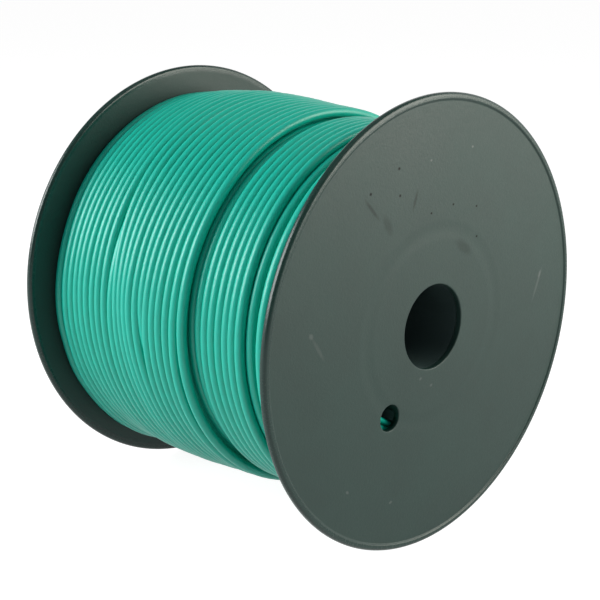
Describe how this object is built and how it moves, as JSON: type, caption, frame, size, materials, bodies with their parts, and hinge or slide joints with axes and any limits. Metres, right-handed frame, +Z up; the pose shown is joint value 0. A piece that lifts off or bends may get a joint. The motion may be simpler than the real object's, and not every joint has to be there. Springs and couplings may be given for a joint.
{
  "type": "wire spool",
  "caption": "Plastic spool with two flat round flanges, a through bore and a small start hole, wound full of insulated single-core wire.",
  "frame": {"origin": "on the spool's axis, half way between the flanges", "axes": "+Y along the spool's axis, from the front flange to the rear flange; +Z up as the spool lies on its rims; +X to the right seen from the front"},
  "size_m": [0.125, 0.1014, 0.125],
  "materials": {
    "spool_plastic": "dark grey-green moulded polystyrene, satin",
    "wire_insulation": "teal-green PVC insulation, satin"
  },
  "bodies": {
    "root": {"front_flange": "spool_plastic", "rear_flange": "spool_plastic", "barrel": "spool_plastic", "arbor_tube": "spool_plastic", "wire_inner_layers": "wire_insulation", "wire_lower_layer": "wire_insulation", "wire_top_layer": "wire_insulation"}
  },
  "joints": []
}
